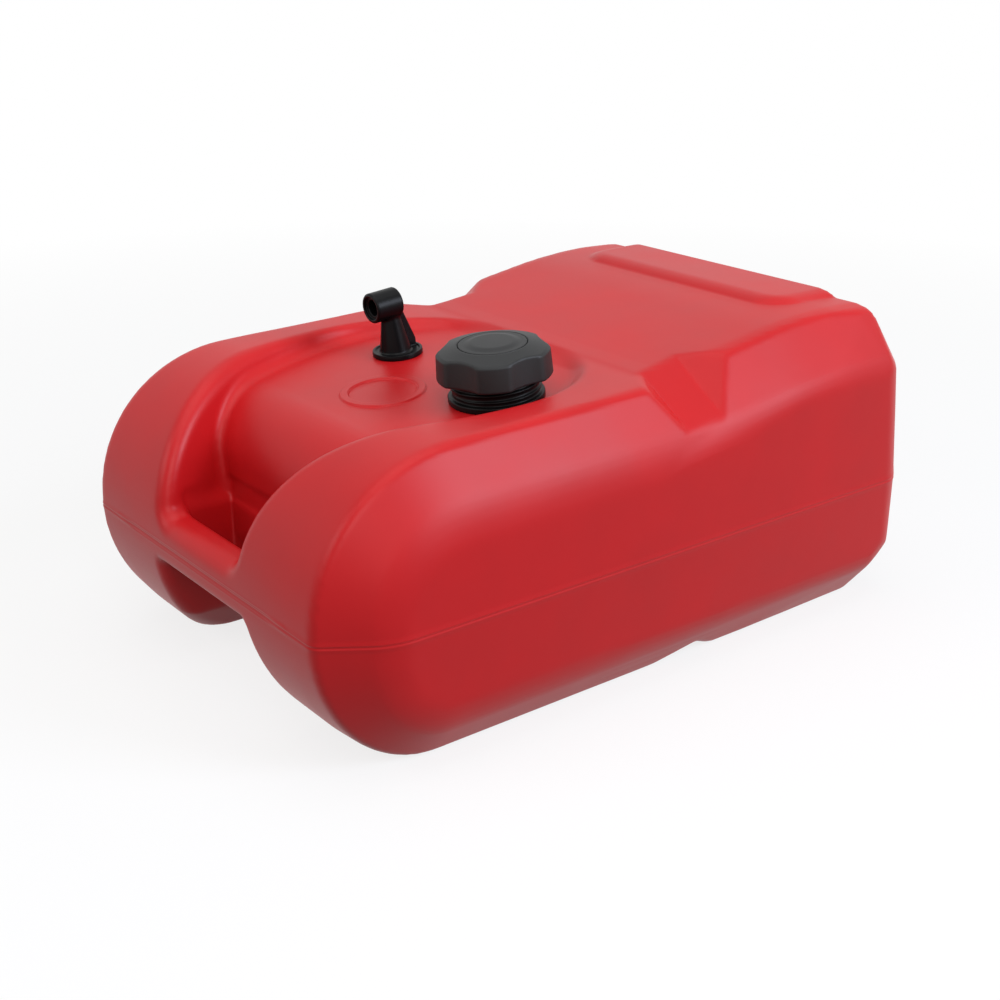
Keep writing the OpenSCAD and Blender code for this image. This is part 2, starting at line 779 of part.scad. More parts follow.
module pickup_elbow() {
    head_low = barrel_z - barrel_d / 2;
    rib_t = 3;
    rear = barrel_len - port_reach;
    taper = (post_foot - post_head) / 2 / (head_low - flange_t);
    post_h = barrel_z - flange_t + 1;
    color(black) on_floor(pickup_x, pickup_y) difference() {
        union() {
            disc(flange_d / 2, seat_gap, flange_t);
            ring(flange_d / 2, flange_d / 2 - 2.2, flange_t - 1, flange_t + 1);
            disc(stub_r, stub_end, flange_t);
            translate([0, -1.5, flange_t - 1]) rotate([3, 0, 0])
                cylinder(h = post_h, r1 = post_foot / 2, r2 = post_foot / 2 - taper * post_h);
            translate([-rib_t / 2, 0, 0]) rotate([90, 0, 90]) linear_extrude(rib_t)
                polygon([[0, flange_t - 1], [flange_d / 2 - 2.3, flange_t - 1],
                         [flange_d / 2 - 2.3, flange_t + 5.5], [rear + 4.3, head_low + 3.4],
                         [rear - 1, head_low + 7.4], [0, head_low + 7.4]]);
            translate([0, rear, barrel_z]) rotate([90, 0, 0])
                cylinder(h = barrel_len, d = barrel_d);
        }
        ring(oring_r + oring_t, oring_r, 0, oring_t);
        translate([0, -port_reach - 1, barrel_z]) rotate([-90, 0, 0])
            cylinder(h = port_depth + 1, d = port_d);
        translate([0, -port_reach, barrel_z]) rotate([-90, 0, 0])
            cylinder(h = port_reach, d = passage_d);
        disc(passage_d / 2, stub_end, barrel_z);
        disc(dip_d / 2 + 0.05, stub_end - 1, -1);
    }
}

module pickup_oring() {
    color([0.2, 0.2, 0.2]) on_floor(pickup_x, pickup_y)
        ring(oring_r + oring_t - 0.1, oring_r + 0.1, 0.02, oring_t);
}

module dip_tube() {
    color([0.85, 0.85, 0.82]) on_floor(pickup_x, pickup_y)
        ring(dip_d / 2, passage_d / 2, strainer_top - 8, -1);
}

module strainer_cage() {
    inner = strainer_d / 2 - cage_t;
    color([0.9, 0.9, 0.88]) on_floor(pickup_x, pickup_y) difference() {
        disc(strainer_d / 2, strainer_end, strainer_top);
        disc(inner, strainer_end + 1.5, strainer_top - 5);
        disc(dip_d / 2 + 0.05, strainer_end + 1.5, strainer_top + 1);
        for (i = [0 : 2]) rotate(60 * i)
            translate([-strainer_d, -strainer_d * 0.18, strainer_end + 4])
                cube([2 * strainer_d, strainer_d * 0.36, strainer_h - 12]);
    }
}

module strainer_screen() {
    inner = strainer_d / 2 - cage_t;
    color([0.6, 0.65, 0.6]) on_floor(pickup_x, pickup_y)
        ring(inner - 0.05, inner - screen_t, strainer_end + 1.5 + 0.05, strainer_top - 5 - 0.05);
}

tank_shell();
filler_neck();
cap_gasket();
cap_closure();
cap_knob();
dome_cover();
ratchet_ring();
valve_retainer();
relief_poppet();
relief_seal();
relief_spring();
vacuum_valve();
vacuum_seal();
vacuum_spring();
pickup_bushing();
pickup_elbow();
pickup_oring();
dip_tube();
strainer_cage();
strainer_screen();
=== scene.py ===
"""Looks of a low outboard fuel tank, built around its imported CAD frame.

Shell sizes are millimetres in tank axes: x to the right, y back from the front tread,
z up from the parting line. place() turns them into the row frame, in metres.
"""

import math

import bmesh
import bpy
import numpy as np
import openvdb
from mathutils import Matrix, Vector


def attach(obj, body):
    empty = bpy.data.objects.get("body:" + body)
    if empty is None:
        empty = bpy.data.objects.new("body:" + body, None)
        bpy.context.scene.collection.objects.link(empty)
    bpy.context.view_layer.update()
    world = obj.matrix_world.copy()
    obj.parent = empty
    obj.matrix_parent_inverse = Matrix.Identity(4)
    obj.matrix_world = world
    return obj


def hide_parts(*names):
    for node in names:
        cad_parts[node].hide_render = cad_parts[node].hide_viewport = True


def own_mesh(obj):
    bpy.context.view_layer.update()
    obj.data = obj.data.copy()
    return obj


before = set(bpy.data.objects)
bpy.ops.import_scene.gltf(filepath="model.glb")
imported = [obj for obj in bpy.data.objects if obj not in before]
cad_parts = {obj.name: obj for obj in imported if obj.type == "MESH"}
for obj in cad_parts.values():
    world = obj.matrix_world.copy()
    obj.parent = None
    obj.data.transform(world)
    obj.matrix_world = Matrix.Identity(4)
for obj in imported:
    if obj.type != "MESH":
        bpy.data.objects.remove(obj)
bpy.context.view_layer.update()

MM = 0.001

# ---- sizes of the shell, with the CAD part's values where they share a name ----
TANK_LEN, TANK_W, BASE_DEPTH = 530.0, 356.0, 102.0
SIDE = TANK_W / 2
SHOULDER_W, SHOULDER_TOP, SHOULDER_BASE = 29.0, 46.0, 34.0
SHOULDER_FRONT = 37.0
TREAD = SIDE - SHOULDER_W
CREST_LEN, CREST_RISE, RAIL_GAIN = 112.0, 108.0, 3.5
TOE_LEN, TOE_CROWN = 90.0, 7.0
SIDE_DRAFT = 3.5
PLATEAU_START, PLATEAU_RAMP, PLATEAU_RISE, PLATEAU_FALL = 284.0, 176.0, 134.0, 1.5
PLATEAU_SHOULDER = 35.0
RAIL_END = PLATEAU_START + 60
REAR_SLOPE, REAR_SLOPE_H, REAR_LEAN, REAR_BEVEL, REAR_TOE = 34.0, 48.0, 10.0, 20.0, 36.0
PAD_RISE, PAD_W, PAD_LEN, PAD_FOOT, PAD_CORNER = 4.0, 214.0, 58.0, 6.5, 26.0
FLOOR_TILT, FLOOR_RISE = math.radians(5.5), 94.0
RING_Y, RING_D, RING_W, RING_H = 154.0, 62.0, 7.0, 1.4
RECESS_HALF, RECESS_FRONT, RECESS_END, RECESS_CORNER, RECESS_DRAFT = 117.0, 60.0, 284.0, 80.0, 14.0
BAR_D, BAR_UP, BAR_DOWN, HAND_GAP = 25.0, 18.0, 14.0, 38.0
NOTCH_Y, NOTCH_LEN, NOTCH_REACH = 268.0, 76.0, 57.0
CHANNEL_DEPTH, CHANNEL_LEN = 11.0, 60.0
HAND_END = BAR_D + HAND_GAP
HAND_HALF_FRONT, HAND_HALF_REAR, HAND_TOP = RECESS_FRONT - 4, RECESS_FRONT + 3, BAR_UP + 12
RECESS_CORNER_LEN, RECESS_FLARE, RECESS_LIP = RECESS_CORNER + 18, 1.35, 16.0
POCKET_R = 45.0  # radius from the recess's floor down to the hand opening
TROUGH_RUN = 70.0  # length of the hollow's curved rear wall under the hand opening
TROUGH_TOP_HALF = RECESS_FRONT - 2
TROUGH_FLARE = ((7.0, 0.66), (21.0, 0.88), (45.0, 1.0))  # how much wider, at this share of the depth
CHANNEL_MID = NOTCH_Y + NOTCH_LEN * 0.57
RIDGE = 0.35  # height of the parting line, which takes the shell out to its full size
FAR = 60.0  # how far a body or a cut runs on where its end doesn't show

# ---- radii of the shell's edges ----
FRONT_EDGE, REAR_EDGE, PAD_FILLET, RAIL_FILLET = 6.0, 4.0, 1.5, 3.0
SIDE_EDGE, SIDE_EDGE_REAR = 8.0, 5.0
RECESS_RIM_FRONT, RECESS_RIM, RECESS_FLOOR_EDGE = 12.0, 5.0, 9.0
TROUGH_EDGE, TROUGH_CORNER, HAND_EDGE, NOTCH_EDGE, CHANNEL_EDGE = 9.0, 8.0, 6.0, 2.0, 3.0
RAIL_FILLET_Z, RAIL_FILLET_X = (98, 108), (118, 132)  # where the fillet grows, and where it ends
SIDE_EDGE_Y, RECESS_RIM_Y = (260, 420), (60, 190)  # where the front's radius goes over to the rear's
SEAM_X, SEAM_DEPTH = (110, 140), (0, 25)  # where the smoothing of the low sides grows
SEAM_REACH, SEAM_PASSES = 14.0, 60  # how far it reaches from a body's end, and how strong it is


def place(x, y, z):
    """A point in tank axes, in the row frame."""
    return Vector((x, y - TANK_LEN / 2, z + BASE_DEPTH)) * MM


def floor_z(y):
    """Height of the recess's sloping floor."""
    return FLOOR_RISE + math.tan(FLOOR_TILT) * (y - RING_Y)


def rail_z(y):
    """Height of the lobes' tread and of the deck behind the recess."""
    return CREST_RISE + RAIL_GAIN * (y - CREST_LEN) / (PLATEAU_START - CREST_LEN)


def steps(count):
    """Even steps from 0 to 1, both ends included."""
    return [i / count for i in range(count + 1)]


# ---- convex forms of the shell, as corner points ----
NOSE_STEPS, RAMP_STEPS = 26, 16
TOE_ROUND, CREST_ROUND = 2 / 1.93, 2 / 2.1  # exponents of the lobes' near-elliptical quarters
RAMP_STRAIGHT, RAMP_EASED = 0.49, 0.39  # share of its length that is straight, of its rise that isn't
SHOULDER_OVERRUN = 1.55  # how far the shoulders run on, against their real width
CREST_ROLL, CREST_DROP = 9.0, 1.5  # the plateau's sides bend down by the second over the first
CROWN_HALF = TREAD - 28  # half the flat width of the lobes, where their front stands furthest out


def nose(front, low, high, toe):
    """Front outline of a lobe in (y, z), from the base up to the crest."""
    points = []
    for t in steps(NOSE_STEPS):
        a = math.pi / 2 * (1 - t)
        back, down = math.cos(a) ** TOE_ROUND, math.sin(a) ** TOE_ROUND
        points.append((toe - (toe - front) * back, -low * down))
    for t in steps(NOSE_STEPS)[1:]:
        a = math.pi / 2 * t
        back, up = math.cos(a) ** CREST_ROUND, math.sin(a) ** CREST_ROUND
        points.append((CREST_LEN - (CREST_LEN - front) * back, high * up))
    return points


def ramp(low, high):
    """Rise from the deck to the plateau: straight, then easing over."""
    mid = PLATEAU_START + PLATEAU_RAMP * RAMP_STRAIGHT
    points = [(PLATEAU_START, low)]
    for t in steps(RAMP_STEPS):
        share = 1 - RAMP_EASED * (1 - t) ** 2
        points.append((mid + PLATEAU_RAMP * (1 - RAMP_STRAIGHT) * t, low + (high - low) * share))
    return points


def slab(points, half):
    """A (y, z) outline at both ends of a span across the tank."""
    return [(side * half, y, z) for y, z in points for side in (-1, 1)]


def front_body():
    """The lobes and the middle of the tank. Its sides lie further out than the real ones."""
    out = SHOULDER_OVERRUN
    rise, fall = SHOULDER_TOP - 2, SHOULDER_BASE
    tail = [(RAIL_END, rail_z(RAIL_END)), (RAIL_END, -BASE_DEPTH)]
    side = nose(SHOULDER_FRONT * out, BASE_DEPTH - fall * out, CREST_RISE - rise * out, TOE_LEN)
    side += [(RAIL_END, rail_z(RAIL_END) - rise * out), (RAIL_END, -BASE_DEPTH + fall * out)]
    width = SHOULDER_W - SIDE_DRAFT
    return (
        slab(nose(RIDGE, BASE_DEPTH, CREST_RISE, TOE_LEN) + tail, TREAD)
        + slab(nose(RIDGE, BASE_DEPTH, CREST_RISE, TOE_LEN - TOE_CROWN) + tail, CROWN_HALF)
        + slab(side, TREAD + width * out)
    )


def rear_body():
    """The plateau with its shoulders and bevelled rear corners.

    Offsets of a few millimetres soften the corners where three faces meet.
    """
    deck = rail_z(PLATEAU_START)
    front, base_end = PLATEAU_START - FAR, RAIL_END + 20
    brow_y, toe_y = TANK_LEN - REAR_SLOPE, TANK_LEN - REAR_TOE

    def top(drop):
        return (
            [(front, -BASE_DEPTH), (front, deck - FAR / 2)]
            + ramp(deck - drop, PLATEAU_RISE - drop)
            + [(brow_y, PLATEAU_RISE - PLATEAU_FALL - drop), (toe_y, -BASE_DEPTH)]
        )

    end, foot = TANK_LEN - REAR_BEVEL - 1, -BASE_DEPTH + SHOULDER_BASE
    side = (
        [(front, foot), (front, deck - SHOULDER_TOP - FAR / 2)]
        + ramp(deck - SHOULDER_TOP, PLATEAU_RISE - SHOULDER_TOP)
        + [(brow_y + 4, PLATEAU_RISE - SHOULDER_TOP), (end, 0), (end, foot + 13), (end - 15, foot)]
    )
    slope_foot, toe_top = PLATEAU_RISE - REAR_SLOPE_H, -BASE_DEPTH + REAR_TOE + 1
    face = [
        (PLATEAU_START, slope_foot),
        (TANK_LEN - REAR_LEAN, slope_foot),
        (TANK_LEN - RIDGE, 0),
        (TANK_LEN - 2, toe_top),
        (PLATEAU_START, toe_top),
    ]
    crest = SIDE - PLATEAU_SHOULDER
    brow = [(brow_y - 10, PLATEAU_RISE - 4), (brow_y + 3, PLATEAU_RISE - 6), (brow_y, 0)]
    base_front = [(front, -BASE_DEPTH), (base_end, -BASE_DEPTH), (base_end, 0)]
    base_rear = [(front, -BASE_DEPTH), (toe_y, -BASE_DEPTH), (toe_y, 0)]
    return (
        slab(top(0), crest - CREST_ROLL)
        + slab(top(CREST_DROP), crest)
        + slab(brow, crest + 5)
        + slab(base_front, TREAD)
        + slab(base_rear, TREAD - 2.5)
        + slab(side, SIDE - SIDE_DRAFT)
        + slab(face, SIDE - REAR_BEVEL)
    )


# ---- distance fields on a grid of points over the right half of the tank ----
STEP = 2.0
BAND = 26.0  # how far the distances around a rounded body reach
ROOM = 8.0  # free space between the shell and the grid's edge, with half as much again at the side
TOP = (SIDE + 1.5 * ROOM, TANK_LEN + ROOM, PLATEAU_RISE + PAD_RISE + ROOM)
LOW = np.floor(np.array([0.0, -ROOM, -BASE_DEPTH - ROOM]) / STEP).astype(int)
HIGH = np.ceil(np.array(TOP) / STEP).astype(int)
AXES = [np.arange(LOW[i], HIGH[i] + 1, dtype=np.float32) * np.float32(STEP) for i in range(3)]
X = AXES[0][:, None, None]
Y = AXES[1][None, :, None]
Z = AXES[2][None, None, :]
SIDEWAYS = 0.97  # share of a plane's normal across the tank from which it counts as a side


def hull_planes(points):
    """The outward planes (normal, distance) of a convex hull, each once."""
    bm = bmesh.new()
    for p in points:
        bm.verts.new(p)
    bmesh.ops.remove_doubles(bm, verts=bm.verts, dist=1e-3)
    bmesh.ops.convex_hull(bm, input=bm.verts, use_existing_faces=False)
    cloud = np.array(points)
    middle = Vector(cloud.mean(0))
    planes = {}
    for face in bm.faces:
        if face.calc_area() < 0.05:
            continue
        n = face.normal.copy()
        if n.dot(face.verts[0].co - middle) < 0:
            n.negate()
        planes[tuple(round(c, 3) for c in n)] = (*n, float((cloud @ np.array(n)).max()))
    bm.free()
    return list(planes.values())


def hull_field(points):
    """Distance below the nearest plane of a convex hull that doesn't face sideways.

    The body runs on sideways to two steps inside the grid's edge.
    """
    field = X - AXES[0][-3] + 0 * Y + 0 * Z
    for nx, ny, nz, d in hull_planes(points):
        if abs(nx) <= SIDEWAYS:
            field = np.maximum(field, (nx * X + ny * Y - d) + nz * Z)
    return field


def mirrored(half):
    """The field over the whole tank, from that over its right half."""
    return np.ascontiguousarray(np.concatenate([half[:0:-1], half]))


def grid_of(field):
    grid = openvdb.FloatGrid(background=1000.0)
    grid.copyFromArray(field)
    return grid


def rounded(half, radius):
    """The body with its outer edges rounded: its surface is drawn in by radius and grown again."""
    points, _, quads = grid_of(mirrored(half)).convertToPolygons(isovalue=-radius)
    reach = (BAND + radius) / STEP
    grid = openvdb.FloatGrid.createLevelSetFromPolygons(
        points,
        quads=quads,
        transform=openvdb.createLinearTransform(voxelSize=1.0),
        exBandWidth=reach,
        inBandWidth=reach,
    )
    field = np.empty(half.shape, np.float32)
    grid.copyToArray(field, ijk=(len(half) - 1, 0, 0))
    return field * np.float32(STEP) - np.float32(radius)


def polygon_field(u, v, points):
    """Distance to a closed outline in a plane, negative inside."""
    nearest = np.full(np.broadcast(u, v).shape, 1e9, np.float32)
    inside = np.zeros(nearest.shape, bool)
    for (ax, ay), (bx, by) in zip(points, points[1:] + points[:1]):
        ex, ey = bx - ax, by - ay
        length = ex * ex + ey * ey
        if length < 1e-9:
            continue
        t = np.clip(((u - ax) * ex + (v - ay) * ey) / length, 0, 1)
        nearest = np.minimum(nearest, (u - ax - t * ex) ** 2 + (v - ay - t * ey) ** 2)
        if ay != by:
            inside ^= ((ay > v) != (by > v)) & (u < ex * (v - ay) / ey + ax)
    return np.where(inside, -np.sqrt(nearest), np.sqrt(nearest)).astype(np.float32)


def join(a, b, r):
    """Union with a fillet of radius r."""
    return np.maximum(r, np.minimum(a, b)) - np.hypot(np.maximum(r - a, 0), np.maximum(r - b, 0))


def common(a, b, r):
    """Intersection with its edge rounded to radius r."""
    return np.minimum(-r, np.maximum(a, b)) + np.hypot(np.maximum(r + a, 0), np.maximum(r + b, 0))


def cut(a, b, r):
    """a without b, with the new edge rounded to radius r."""
    return common(a, -b, r)


def ease(value, start, stop):
    """0 before start, 1 after stop, smooth between."""
    t = np.clip((value - start) / (stop - start), 0, 1)
    return t * t * (3 - 2 * t)


def blurred_along(field, passes):
    """A field blurred along the tank, to take out the step where two bodies end."""
    for _ in range(passes):
        inner = (field[:, :-2] + 2 * field[:, 1:-1] + field[:, 2:]) / 4
        field = np.concatenate([field[:, :1], inner, field[:, -1:]], 1)
    return field


def recess_field():
    """The sunk deck between the lobes, open to the front above the handle bar."""
    wide_y, front = RECESS_END - RECESS_CORNER_LEN, HAND_END + POCKET_R
    side = [(RECESS_FRONT, -FAR)]
    for t in steps(24):
        widening = math.sin(math.pi / 2 * t) ** RECESS_FLARE
        side.append((RECESS_FRONT + (RECESS_HALF - RECESS_FRONT) * widening, wide_y * t))
    for t in steps(24)[1:]:
        a = math.pi / 2 * t
        across = RECESS_HALF - RECESS_CORNER * (1 - math.cos(a))
        side.append((across, wide_y + RECESS_CORNER_LEN * math.sin(a)))
    outline = side + [(-x, y) for x, y in reversed(side)]
    walls = polygon_field(X[:, :, 0], Y[:, :, 0], outline)[:, :, None]
    lean = math.atan2(RECESS_DRAFT, CREST_RISE)
    walls = (walls + np.clip(CREST_RISE - Z, 0, CREST_RISE) * math.tan(lean)) * math.cos(lean)
    air = [(-FAR, BAR_UP), (HAND_END, BAR_UP)]
    for t in steps(24):
        a = math.pi / 2 * (1 - t)
        drop = POCKET_R * (1 - math.cos(a))
        air.append((front - POCKET_R * math.sin(a), floor_z(front) - drop))
    air += [
        (RECESS_END - RECESS_LIP, floor_z(RECESS_END - RECESS_LIP)),
        (RECESS_END, rail_z(RECESS_END)),
        (RECESS_END + RECESS_LIP, rail_z(RECESS_END) + FAR),
        (-FAR, rail_z(RECESS_END) + FAR),
    ]
    return common(polygon_field(Y[0], Z[0], air)[None], walls, RECESS_FLOOR_EDGE)


def trough_field():
    """The space under the handle bar, between the lower halves of the lobes."""
    air = [(-FAR, -BAR_DOWN)]
    for t in steps(20):
        a = math.pi / 2 * t
        down = (BASE_DEPTH - BAR_DOWN + 6) * math.sin(a)
        air.append((HAND_END + TROUGH_RUN * (1 - math.cos(a)), -BAR_DOWN - down))
    air += [(HAND_END + TROUGH_RUN, -BASE_DEPTH - FAR), (-FAR, -BASE_DEPTH - FAR)]
    side = [(TROUGH_TOP_HALF, -BAR_DOWN)]
    side += [(TROUGH_TOP_HALF + wider, -BASE_DEPTH * share) for wider, share in TROUGH_FLARE]
    side.append((side[-1][0], -BASE_DEPTH - FAR))
    section = side + [(-x, z) for x, z in reversed(side)]
    lengthwise = polygon_field(Y[0], Z[0], air)[None]
    crosswise = polygon_field(X[:, 0], Z[0], section)[:, None, :]
    return common(lengthwise, crosswise, TROUGH_CORNER)


def hand_field():
    """The opening for the hand, behind the bar."""
    outline = [
        (-HAND_HALF_FRONT, BAR_D),
        (HAND_HALF_FRONT, BAR_D),
        (HAND_HALF_REAR, HAND_END),
        (-HAND_HALF_REAR, HAND_END),
    ]
    plan = polygon_field(X[:, :, 0], Y[:, :, 0], outline)[:, :, None]
    return common(plan, Z - HAND_TOP, 1.0)


def pad_field():
    """The low raised pad at the rear of the plateau, with rounded corners and sloping sides."""
    front, half = TANK_LEN - REAR_SLOPE - PAD_LEN - PAD_FOOT, PAD_W / 2 + PAD_FOOT
    u = X[:, :, 0] - half + PAD_CORNER
    v = front + PAD_CORNER - Y[:, :, 0]
    plan = np.hypot(np.maximum(u, 0), np.maximum(v, 0)) - PAD_CORNER + np.minimum(np.maximum(u, v), 0)
    grade = PAD_RISE / PAD_FOOT
    sides = (plan[:, :, None] * grade + (Z - PLATEAU_RISE)) / math.hypot(1, grade)
    raised = common(sides, Z - PLATEAU_RISE - PAD_RISE + 0 * X + 0 * Y, 3.0)
    raised = np.maximum(raised, plan[:, :, None])
    run, drop = REAR_SLOPE - REAR_LEAN, REAR_SLOPE_H - PLATEAU_FALL
    slope = (Y - TANK_LEN + REAR_SLOPE) * drop + (Z - PLATEAU_RISE + PLATEAU_FALL) * run
    return np.maximum(np.maximum(raised, slope / math.hypot(run, drop) + 0.8), PLATEAU_RISE - 9 - Z)


NOTCH_PLANES = (  # height on the inner side, at this y; fall outwards; climb to the rear
    (116.0, 51, 0.72, 0.08),
    (118.0, 56, 0.77, 0.81),
    (111.6, 19, 0.62, -0.84),
)


def notch_field():
    """The wedge in each shoulder that guides a hold-down strap: the space over three planes."""
    x, y = X - SIDE + NOTCH_REACH, Y - NOTCH_Y
    field = -FAR
    for height, at_y, fall, climb in NOTCH_PLANES:
        plane = height - fall * x + climb * (y - at_y)
        field = np.maximum(field, (plane - Z) / math.sqrt(1 + fall**2 + climb**2))
    return field


def channel_field():
    """The channel for the strap across the base."""
    mid, half = CHANNEL_MID, CHANNEL_LEN / 2
    outline = [
        (mid - half - 8, -BASE_DEPTH - 3),
        (mid + half + 8, -BASE_DEPTH - 3),
        (mid + half, -BASE_DEPTH),
        (mid + half / 4, -BASE_DEPTH + CHANNEL_DEPTH),
        (mid + half / 8, -BASE_DEPTH + CHANNEL_DEPTH),
        (mid - half, -BASE_DEPTH),
    ]
    return polygon_field(Y[0], Z[0], outline)[None]


def shell_field():
    """The whole shell: two rounded bodies and the pad, with the sides, recesses and notches cut."""
    front = rounded(hull_field(front_body()), FRONT_EDGE)
    rear = join(rounded(hull_field(rear_body()), REAR_EDGE), pad_field(), PAD_FILLET)
    fillet = 0.01 + RAIL_FILLET * ease(Z, *RAIL_FILLET_Z) * (1 - ease(X, *RAIL_FILLET_X))
    body = join(front, rear, fillet)
    for y in (PLATEAU_START - FAR, RAIL_END):
        near = np.exp(-(((Y - y) / SEAM_REACH) ** 2)) * ease(X, *SEAM_X) * ease(-Z, *SEAM_DEPTH)
        body = body + near * (blurred_along(body, SEAM_PASSES) - body)
    sides = X - SIDE + RIDGE + SIDE_DRAFT * np.abs(Z) / (CREST_RISE - SHOULDER_TOP) + 0 * Y
    body = common(body, sides, SIDE_EDGE + (SIDE_EDGE_REAR - SIDE_EDGE) * ease(Y, *SIDE_EDGE_Y))
    rim = RECESS_RIM + (RECESS_RIM_FRONT - RECESS_RIM) * (1 - ease(Y, *RECESS_RIM_Y))
    body = cut(body, recess_field(), rim)
    body = cut(body, trough_field(), TROUGH_EDGE)
    body = cut(body, hand_field(), HAND_EDGE)
    body = cut(body, notch_field(), NOTCH_EDGE)
    return cut(body, channel_field(), CHANNEL_EDGE)


# ---- from field to mesh ----
def sample(field, points):
    """The field's value at points in grid steps, by trilinear interpolation."""
    top = np.array(field.shape) - 1.001
    at = np.clip(points, 0, top)
    base = at.astype(int)
    i, j, k = base.T
    fx, fy, fz = (at - base).T
    value = 0
    for dx, wx in ((0, 1 - fx), (1, fx)):
        for dy, wy in ((0, 1 - fy), (1, fy)):
            for dz, wz in ((0, 1 - fz), (1, fz)):
                value = value + field[i + dx, j + dy, k + dz] * wx * wy * wz
    return value


def zero_surface(field):
    """The quads of a field's zero surface, their corners drawn onto it. Corners are in grid steps."""
    points, _, quads = grid_of(field).convertToPolygons(isovalue=0.0)
    slope = np.gradient(field)
    for _ in range(3):
        value = sample(field, points)
        normal = np.stack([sample(s, points) for s in slope], 1)
        points = points - normal * (value / np.maximum((normal**2).sum(1), 1e-3))[:, None]
    return points, quads


def quad_mesh(name, co, quads):
    """A smooth mesh of quads."""
    mesh = bpy.data.meshes.new(name)
    mesh.vertices.add(len(co))
    mesh.vertices.foreach_set("co", co.astype(np.float32).ravel())
    mesh.loops.add(len(quads) * 4)
    mesh.loops.foreach_set("vertex_index", quads[:, ::-1].astype(np.int32).ravel())
    mesh.polygons.add(len(quads))
    mesh.polygons.foreach_set("loop_start", np.arange(0, len(quads) * 4, 4, dtype=np.int32))
    mesh.update(calc_edges=True)
    mesh.polygons.foreach_set("use_smooth", np.ones(len(quads), bool))
    return mesh


def surface_bmesh(half):
    """The zero surface of a field given over the right half, mirrored to the left, in tank axes."""
    points, quads = zero_surface(mirrored(half))
    mesh = quad_mesh("surface", (points + [-(len(half) - 1), LOW[1], LOW[2]]) * STEP, quads)
    bm = bmesh.new()
    bm.from_mesh(mesh)
    bpy.data.meshes.remove(mesh)
    return bm


def slice_near(bm, z, keep=lambda face: True):
    """Cuts the kept faces that cross a height."""

    def crosses(face):
        return min(v.co.z for v in face.verts) < z < max(v.co.z for v in face.verts)

    near = [f for f in bm.faces if crosses(f) and keep(f)]
    geom = near + list({e for f in near for e in f.edges}) + list({v for f in near for v in f.verts})
    bmesh.ops.bisect_plane(bm, geom=geom, dist=0.02, plane_co=(0, 0, z), plane_no=(0, 0, 1))


def add_parting_line(bm):
    """A thin ridge where the mould's halves met, all round, and a raised band across the bar."""
    half_width = 0.5
    band, band_edge, band_height = 3.2, 0.75, 0.6
    bar_face, bar_half = 20.0, TREAD - 30

    def at_bar(co):
        return co.y < bar_face and abs(co.x) < bar_half

    for z in (-band, -band + 0.7, band - 0.7, band):
        slice_near(bm, z, lambda f: at_bar(f.calc_center_median()))
    for z in (-3 * half_width, -half_width, half_width, 3 * half_width):
        slice_near(bm, z)
    bm.normal_update()
    for v in bm.verts:
        inside = abs(v.co.x) < RECESS_FRONT + 8 and BAR_D * 0.6 < v.co.y < BAR_D + 90
        out = Vector((v.normal.x, v.normal.y, 0))
        if inside or out.length < 0.5 or abs(v.co.z) > band:
            continue
        fade = float(1 - ease(abs(v.co.z), band - band_edge, band))
        rise = RIDGE * (abs(v.co.z) < half_width + 0.05) - RIDGE
        if at_bar(v.co):
            rise += band_height * fade * float(1 - ease(abs(v.co.x), bar_half - 30, bar_half - 5))
        v.co += out.normalized() * rise * fade


def add_ring(bm):
    """The raised moulded ring on the recess floor."""
    outer, inner, near = RING_D / 2, RING_D / 2 - RING_W, 4.0

    def radius(co):
        return math.hypot(co.x, (co.y - RING_Y) / math.cos(FLOOR_TILT))

    def on_floor(co):
        return abs(co.z - floor_z(co.y)) < near

    marked = {v for v in bm.verts if radius(v.co) < outer + near and on_floor(v.co)}
    edges = [e for e in bm.edges if e.verts[0] in marked and e.verts[1] in marked]
    bmesh.ops.subdivide_edges(bm, edges=edges, cuts=4, use_grid_fill=True)
    for v in bm.verts:
        r = radius(v.co)
        if r < outer + 1 and on_floor(v.co):
            v.co.z += RING_H * float(ease(min(outer - r, r - inner), -0.2, 1.0))


def mesh_of(bm, name, all_smooth=True):
    """The mesh of a bmesh, which is freed."""
    mesh = bpy.data.meshes.new(name)
    bm.to_mesh(mesh)
    bm.free()
    if all_smooth:
        mesh.polygons.foreach_set("use_smooth", np.ones(len(mesh.polygons), bool))
    return mesh


def finish_shell(name):
    """The shell's mesh, in the row frame."""
    bm = surface_bmesh(shell_field())
    add_ring(bm)
    add_parting_line(bm)
    bmesh.ops.translate(bm, verts=bm.verts, vec=(0, -TANK_LEN / 2, BASE_DEPTH))
    bmesh.ops.scale(bm, verts=bm.verts, vec=(MM, MM, MM))
    return mesh_of(bm, name)


def add_object(name, mesh, body, material, node):
    """A visible piece that rides on a body, in the place of a CAD node."""
    obj = bpy.data.objects.new(name, mesh)
    bpy.context.scene.collection.objects.link(obj)
    mesh.materials.append(material)
    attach(obj, body)
    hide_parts(node)
    return obj


